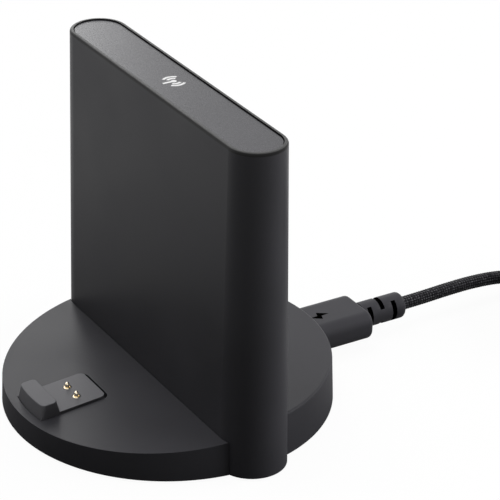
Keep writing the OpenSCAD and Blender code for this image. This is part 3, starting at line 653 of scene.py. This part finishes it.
def add_charge_symbol():
    rings = [
        [(BOLT_X + x, PLUG_LOW.y + BOLT_FROM_FACE + y, PLUG_HIGH.z + z) for x, y in BOLT]
        for z in (-BOLT_SUNK, BOLT_PROUD)
    ]
    return add_piece("charge_symbol", loft(rings), ["shade_and_symbol"], "lead")


def at_relief_outside(p):
    return math.hypot(p.x, p.z - PORT_Z) > RELIEF_OUTER_FROM


def add_slotted_relief():
    low, high, _ = node_box("strain_relief")
    bm = cad_copy("strain_relief")
    round_edges(bm, at_relief_outside, TRIM_ROUND, 2, 40)
    # Faces inside the slots get the near-black material as painted shade
    for face in bm.faces:
        c = face.calc_center_median() / MM
        inside = math.hypot(c.x, c.z - PORT_Z) < RELIEF_SLOT_TO
        if inside and low.y + RELIEF_COLLAR < c.y < high.y - RELIEF_TIP:
            face.material_index = 1
    return add_piece(
        "slotted_relief", to_mesh(bm), ["plug", "shade_and_symbol"], "lead", ["strain_relief"]
    )


def add_plug():
    return [add_plug_body(), add_charge_symbol(), add_slotted_relief()]


# Far plug: housing with grip grooves, ringed relief, sheet shell with its two windows, and four contacts

FAR_CORNER = 2.2
GRIPS = 3
GRIP_START = 3.0
GRIP_PITCH = 1.8
GRIP_W = 1.0
GRIP_DEPTH = 0.3
GRIP_SLANT = 0.15
FAR_RELIEF_R = (2.1, 2.8)
FAR_RELIEF_BORE = 1.0
FAR_RELIEF_GROOVES = (1.2, 3.0, 4.8)
FAR_RELIEF_DEPTH = 0.45
SHELL_SHEET = 0.3
SHELL_CORNER = 0.35
WINDOW_X = (1.3, 3.6)
WINDOW_ALONG = (3.6, 5.9)
CONTACT_X = (-3.5, -1.0, 1.0, 3.5)
CONTACT_LONG = 8.8
CONTACT_SHORT = 7.6
CONTACT_W = 1.0
CONTACT_T = 0.12
CONTACT_Z = 0.03
CONTACT_ROUND = 0.04
CONTACT_FROM_MOUTH = 1.4


def far_place(x, z, along):
    """A point of the far plug, from across, up and the distance from where its relief starts."""
    return (FAR_X + x, FAR_Y - along, FAR_Z + z)


def add_far_body():
    start, end = FAR_Y - FAR_HIGH.y, FAR_Y - FAR_LOW.y
    stations = [(start, 0.9), (start + 0.2, 0.5), (start + 0.6, 0.15), (start + 1.2, 0.0)]
    for k in range(GRIPS):
        grip = start + GRIP_START + GRIP_PITCH * k
        stations += [
            (grip, 0.0),
            (grip + GRIP_SLANT, GRIP_DEPTH),
            (grip + GRIP_W - GRIP_SLANT, GRIP_DEPTH),
            (grip + GRIP_W, 0.0),
        ]
    stations += [(end - 0.6, 0.0), (end - 0.25, 0.1), (end - 0.05, 0.35), (end, 0.6)]
    rings = []
    for along, inset in stations:
        section = round_rect(FAR_SIZE.x - 2 * inset, FAR_SIZE.z - 2 * inset, FAR_CORNER - inset)
        rings.append([far_place(x, z, along) for x, z in section])
    return add_piece("far_plug_body", loft(rings), ["plug"], "lead", ["far_housing"])


def add_far_relief():
    length = FAR_Y - FAR_HIGH.y
    tip_r, root_r = FAR_RELIEF_R
    profile = [(FAR_RELIEF_BORE, 0.0), (tip_r - 0.1, 0.0), (tip_r + 0.05, 0.15)]
    for at in FAR_RELIEF_GROOVES:
        r = tip_r + (root_r - tip_r) * at / length
        floor_r = r - FAR_RELIEF_DEPTH
        profile += [(r, at), (floor_r, at + 0.1), (floor_r, at + 0.8), (r + 0.07, at + 0.9)]
    profile += [(root_r - 0.05, length - 0.1), (root_r, length), (FAR_RELIEF_BORE, length)]
    mesh = lathe(profile, far_place, 48)
    return add_piece("far_relief_rings", mesh, ["plug"], "lead", ["far_relief"])


def shell_section(size):
    """Middle line of the shell's sheet, with points where the windows' sides are."""
    corners = round_rect(size.x - SHELL_SHEET, size.z - SHELL_SHEET, SHELL_CORNER, 3)
    inner, outer = WINDOW_X
    section = []
    for (x, z), (after, _) in zip(corners, corners[1:] + corners[:1]):
        section.append((x, z))
        if abs(after - x) > 2 * outer:
            sides = sorted((-outer, -inner, inner, outer), reverse=after < x)
            section += [(side, z) for side in sides]
    return section


def add_far_shell():
    low, high, size = node_box("far_shell")
    start, end = FAR_Y - high.y, FAR_Y - low.y
    stations = [start, *(start + along for along in WINDOW_ALONG), end - SHELL_SHEET, end]
    section = shell_section(size)
    bm = bmesh.new()
    grid = [[bm.verts.new(Vector(far_place(x, z, along)) * MM) for x, z in section] for along in stations]
    for i in range(len(stations) - 1):
        for k in range(len(section)):
            n = (k + 1) % len(section)
            flat = section[k][1] == section[n][1]
            across = abs(section[k][0] + section[n][0]) / 2
            if i == 1 and flat and WINDOW_X[0] < across < WINDOW_X[1]:
                continue
            bm.faces.new((grid[i][k], grid[i][n], grid[i + 1][n], grid[i + 1][k]))
    return add_piece(
        "far_plug_shell", to_mesh(bm), ["steel"], "lead", ["far_shell"], sheet=SHELL_SHEET
    )


def add_far_contacts():
    mouth = FAR_Y - node_box("far_shell")[0].y
    bm = bmesh.new()
    for x in CONTACT_X:
        length = CONTACT_LONG if abs(x) == max(CONTACT_X) else CONTACT_SHORT
        made = bmesh.ops.create_cube(bm, size=1)
        bmesh.ops.scale(bm, vec=Vector((CONTACT_W, length, CONTACT_T)) * MM, verts=made["verts"])
        at = Vector(far_place(x, CONTACT_Z, mouth - CONTACT_FROM_MOUTH - length / 2))
        bmesh.ops.translate(bm, vec=at * MM, verts=made["verts"])
    bmesh.ops.bevel(
        bm, geom=list(bm.edges), offset=CONTACT_ROUND * MM, offset_type="OFFSET", segments=2,
        profile=0.5, affect="EDGES",
    )
    return add_piece("far_plug_contacts", to_mesh(bm), ["gold"], "lead")


def add_far_plug():
    return [add_far_body(), add_far_relief(), add_far_shell(), add_far_contacts()]


# Cable: from the strain relief to the table, wound into a coil, and out to the far plug

LEAD_ROUTE = [
    (0, 54.2, 5), (0, 60, 5.1), (0, 66, 5.3), (0, 72, 5.3),
    (0, 78, 4.8), (0, 84, 3.6), (0, 90, 2.4), (0, 98, 1.9),
]
TAIL_ROUTE = [
    (22.8, 120.8, 10.6), (26.5, 120.8, 10.6), (29, 120.8, 10.34), (31.5, 120.8, 9.51), (34, 120.8, 7.97),
    (35.86, 120.8, 6.1), (37.7, 120.8, 4.23), (40.2, 120.8, 2.69), (42.7, 120.8, 1.86), (45.2, 120.8, 1.6),
    (49.49, 119.95, 1.6), (53.12, 117.52, 1.6), (55.55, 113.89, 1.6), (56.4, 109.6, 1.6), (56.4, 107, 1.89),
    (56.4, 104.4, 2.8), (56.4, 101.7, 3.71), (56.4, 99.1, 4.0), (56.4, 97.6, 4.0),
]
COIL_R = 22.8
COIL_AT = (COIL_R, 98)
COIL_Z = 1.9
LOWER_INNER_R = 11.2
UPPER_INNER_R = 10.8
LAYER_TURNS = 4.0
TURN_OUT = 0.25
LAYER_RISE = 2.9
LAYER_CLIMB = 80 / 360
CABLE_D = 2.8
BRAID_TURNS = 8
BRAID_PITCH = 1.15
BRAID_DEPTH = 0.055
LEAD_STEP = 0.11
LEAD_SIDES = 96
COIL_STEP = 0.8
COIL_SIDES = 20


def smooth(points, steps):
    """Points on a smooth curve through a list of points."""
    ends = [points[0] * 2 - points[1], *points, points[-1] * 2 - points[-2]]
    found = []
    for a, b, c, d in zip(ends, ends[1:], ends[2:], ends[3:]):
        slope = c - a
        bend = 2 * a - 5 * b + 4 * c - d
        change = 3 * b - a - 3 * c + d
        for k in range(steps):
            t = k / steps
            found.append(0.5 * (2 * b + slope * t + bend * t * t + change * t ** 3))
    return found + [points[-1]]


def coil_points(per_turn=48):
    """Four spiral layers, wound clockwise, in and out by turns, and a quarter turn to the way out."""
    layers = [
        (COIL_R, LOWER_INNER_R, LAYER_TURNS),
        (LOWER_INNER_R, COIL_R, LAYER_TURNS),
        (COIL_R, UPPER_INNER_R, LAYER_TURNS),
        (UPPER_INNER_R, COIL_R, LAYER_TURNS + TURN_OUT),
    ]
    rows = []
    total = 0.0
    for first, last, turns in layers:
        rows.append((total, total + turns, first, last))
        total += turns
    found = []
    steps = round(total * per_turn)
    for i in range(steps + 1):
        t = total * i / steps
        start, end, first, last = next(row for row in rows if t <= row[1] + 1e-9)
        r = first + (last - first) * (t - start) / (end - start)
        z = COIL_Z
        for row in rows[:-1]:
            share = max(0.0, min(1.0, (t - row[1] + LAYER_CLIMB) / (2 * LAYER_CLIMB)))
            z += LAYER_RISE * share * share * (3 - 2 * share)
        a = math.pi - 2 * math.pi * t
        found.append(Vector((COIL_AT[0] + r * math.cos(a), COIL_AT[1] + r * math.sin(a), z)))
    return found


def spaced(points, step):
    """Points along a line at even distances, and its last point."""
    found = [points[0]]
    target = step
    walked = 0.0
    for a, b in zip(points, points[1:]):
        span = (b - a).length
        while walked + span >= target:
            found.append(a.lerp(b, (target - walked) / span))
            target += step
        walked += span
    if (found[-1] - points[-1]).length > 0.05:
        found.append(points[-1])
    return found


def line_length(points):
    return sum((b - a).length for a, b in zip(points, points[1:]))


def square_frames(path):
    """Two directions square to a path at each of its points, without twist."""
    frames = []
    side = None
    for i in range(len(path)):
        ahead = (path[min(i + 1, len(path) - 1)] - path[max(i - 1, 0)]).normalized()
        if side is None:
            side = ahead.cross(Vector((0, 0, 1))).normalized()
        else:
            side = (side - ahead * side.dot(ahead)).normalized()
        frames.append((side, side.cross(ahead)))
    return frames


def add_tube(bm, uv, path, sides, start, relief):
    """Braided tube along a path. Its map counts braid turns around it and braid pitches along it."""
    rings = []
    pitches = []
    walked = start
    for i, (p, (side, over)) in enumerate(zip(path, square_frames(path))):
        if i:
            walked += (p - path[i - 1]).length
        pitches.append(walked / BRAID_PITCH)
        ring = []
        for k in range(sides):
            a = 2 * math.pi * k / sides
            turn = BRAID_TURNS * a
            along = 2 * math.pi * walked / BRAID_PITCH
            r = CABLE_D / 2 - relief + relief * math.sin(turn + along) * math.sin(turn - along)
            ring.append(bm.verts.new((p + (side * math.cos(a) + over * math.sin(a)) * r) * MM))
        rings.append(ring)
    for i in range(len(rings) - 1):
        for k in range(sides):
            n = (k + 1) % sides
            face = bm.faces.new((rings[i][k], rings[i][n], rings[i + 1][n], rings[i + 1][k]))
            corners = ((k, i), (k + 1, i), (k + 1, i + 1), (k, i + 1))
            for loop, (around, along) in zip(face.loops, corners):
                loop[uv].uv = (BRAID_TURNS * around / sides, pitches[along])
    bm.faces.new(rings[0])
    bm.faces.new(rings[-1])


def add_cable():
    """The cable, finely braided where the photograph shows it and plain in the coil and after it."""
    lead = smooth([Vector(p) for p in LEAD_ROUTE], 24)
    coil = coil_points()
    tail = smooth([Vector(p) for p in TAIL_ROUTE], 12)
    fine = spaced(lead, LEAD_STEP)
    rest = spaced([lead[-1], *coil[1:-1], *tail], COIL_STEP)
    bm = bmesh.new()
    uv = bm.loops.layers.uv.new("braid")
    add_tube(bm, uv, fine, LEAD_SIDES, 0.0, BRAID_DEPTH)
    add_tube(bm, uv, rest, COIL_SIDES, line_length(fine), 0.0)
    cable = add_piece(
        "braided_cable", to_mesh(bm), ["braid"], "lead",
        ["cable_lead", "cable_coil", "cable_tail"], sharp=60, weighted=False,
    )


# Strap round the coil, closed on itself with an end that lies on top

STRAP_TURN = math.radians(-35)
STRAP_SHEET = 0.4
STRAP_ACROSS = (-3.5, -3.3, -1.5, 1.5, 3.3, 3.5)
LOOP_W = 16.1
LOOP_H = 12.0
LOOP_CORNER = 1.8
LOOP_CORNER_STEPS = 6
LOOP_R = 16.4
LOOP_Z = 6.25
LAP_RISE = 0.28
LAP_R = (21.5, 19.0, 14.5)


def strap_path():
    """Radius and height of the strap's points: once round from its top's outer end, then the lap."""
    section = round_rect(LOOP_W, LOOP_H, LOOP_CORNER, LOOP_CORNER_STEPS)
    section = section[LOOP_CORNER_STEPS:] + section[:LOOP_CORNER_STEPS]
    loop = [(x + LOOP_R, z + LOOP_Z) for x, z in section]
    top = loop[0][1]
    rising, lying, end = LAP_R
    return loop + [loop[0], (rising, top + LAP_RISE / 2), (lying, top + LAP_RISE), (end, top + LAP_RISE)]


def add_strap():
    spin = Matrix.Rotation(STRAP_TURN, 4, "Z")
    centre = Vector((*COIL_AT, 0))
    bm = bmesh.new()
    rows = [
        [bm.verts.new((spin @ Vector((r, across, z)) + centre) * MM) for across in STRAP_ACROSS]
        for r, z in strap_path()
    ]
    for a, b in zip(rows, rows[1:]):
        for k in range(len(STRAP_ACROSS) - 1):
            bm.faces.new((a[k], a[k + 1], b[k + 1], b[k]))
    return add_piece(
        "coil_strap", to_mesh(bm), ["strap"], "lead", ["cable_tie"], sheet=STRAP_SHEET
    )


# Stage, in metres: a floor that looks white and whose reflections carry a painted shadow near the base, a
# white world and five lamps

FLOOR_HALF = 4.0
FLOOR_Z = -0.0001
# Centre, edge and least glow of the painted shadow that the floor shows in reflections round the base
PAINTED_SHADOW_CENTRE = (0.02, -0.012, 0)
PAINTED_SHADOW_EDGE = (0.035, 0.15)
PAINTED_SHADOW_GLOW = 0.02
SHADOW_EDGE = (0.25, 0.8)
SHADOW_GLOW = 0.95
FLOOR_TONE = 0.12
FLOOR_TONE_SEEN = 0.9
WORLD_LIGHT = 0.04
LAMP_AIM = Vector((0, 0.005, 0.03))
LAMPS = [
    ("over", (-0.05, -0.12, 0.80), 0.60, 4.2),
    ("left", (-0.50, 0.05, 0.40), 0.40, 1.0),
    ("front", (-0.38, -0.50, 0.24), 0.40, 0.3),
    ("strip", (-0.536, 0.195, 0.185), 0.14, 0.2),
    ("right", (0.28, 0.49, 0.22), 0.45, 4.0),
]
UNMIRRORED_LAMPS = ("over", "right")


def floor_material():
    """White where the camera sees it, with a faint shadow near the object, and dim as a reflector, with a
    painted shadow in its reflections near the base.
    """
    look = Look("floor")
    look.tree.nodes.remove(look.shader)
    rays = look.node("LightPath").outputs
    shadow_centre = {0: look.point(), 1: PAINTED_SHADOW_CENTRE}
    away = look.node("VectorMath", shadow_centre, operation="DISTANCE").outputs["Value"]
    mirrored = look.math("MAXIMUM", rays["Is Glossy Ray"], rays["Is Transmission Ray"])
    # Painted shadow: the glow that mirrors see falls off near the base
    mirrored = look.math("MULTIPLY", mirrored, look.spread(away, PAINTED_SHADOW_GLOW, 1.0, PAINTED_SHADOW_EDGE))
    shown = look.math("MULTIPLY", rays["Is Camera Ray"], look.spread(away, SHADOW_GLOW, 1.0, SHADOW_EDGE))
    tone = look.spread(rays["Is Camera Ray"], FLOOR_TONE, FLOOR_TONE_SEEN, (0, 1))
    paint = look.node("BsdfDiffuse", {"Color": tone}).outputs[0]
    glow = look.node("Emission", {"Color": WHITE, "Strength": 1.0}).outputs[0]
    share = look.math("MAXIMUM", shown, mirrored)
    mixed = look.node("MixShader", {0: share, 1: paint, 2: glow}).outputs[0]
    look.feed(look.tree.nodes["Material Output"].inputs["Surface"], mixed)
    return look.material


def add_floor():
    mesh = bpy.data.meshes.new("floor")
    corners = [(x * FLOOR_HALF, y * FLOOR_HALF, FLOOR_Z) for x, y in ((-1, -1), (1, -1), (1, 1), (-1, 1))]
    mesh.from_pydata(corners, [], [(0, 1, 2, 3)])
    mesh.materials.append(floor_material())
    floor = bpy.data.objects.new("floor", mesh)
    scene.collection.objects.link(floor)


def add_world():
    """White where it is seen, mirrored or looked through, and a weak light otherwise."""
    world = bpy.data.worlds.new("studio")
    scene.world = world
    world.use_nodes = True
    graph = Graph(world.node_tree)
    rays = graph.node("LightPath").outputs
    seen = graph.math("MAXIMUM", rays["Is Camera Ray"], rays["Is Glossy Ray"])
    seen = graph.math("MAXIMUM", seen, rays["Is Transmission Ray"])
    background = graph.tree.nodes["Background"]
    graph.feed(background.inputs["Color"], WHITE)
    graph.feed(background.inputs["Strength"], graph.spread(seen, WORLD_LIGHT, 1.0, (0, 1)))


def add_lamps():
    """Lamps with a place, a size and a power. Two are kept out of mirrors, where they would clip."""
    for name, at, size, power in LAMPS:
        data = bpy.data.lights.new(name, "AREA")
        data.size = size
        data.energy = power
        lamp = bpy.data.objects.new(name, data)
        scene.collection.objects.link(lamp)
        lamp.location = at
        lamp.visible_glossy = name not in UNMIRRORED_LAMPS
        aim = LAMP_AIM - lamp.location
        lamp.rotation_euler = aim.to_track_quat("-Z", "Y").to_euler()


add_camera()
add_floor()
add_world()
add_lamps()
add_front_cover()
add_insert()
add_spring("left")
add_spring("right")
add_foot_pad()
lead_pieces = [*add_plug(), *add_far_plug(), add_strap()]
lead_pieces += [nodes[node] for node in ("plug_shell", "plug_core", "far_tongue")]
add_cable()
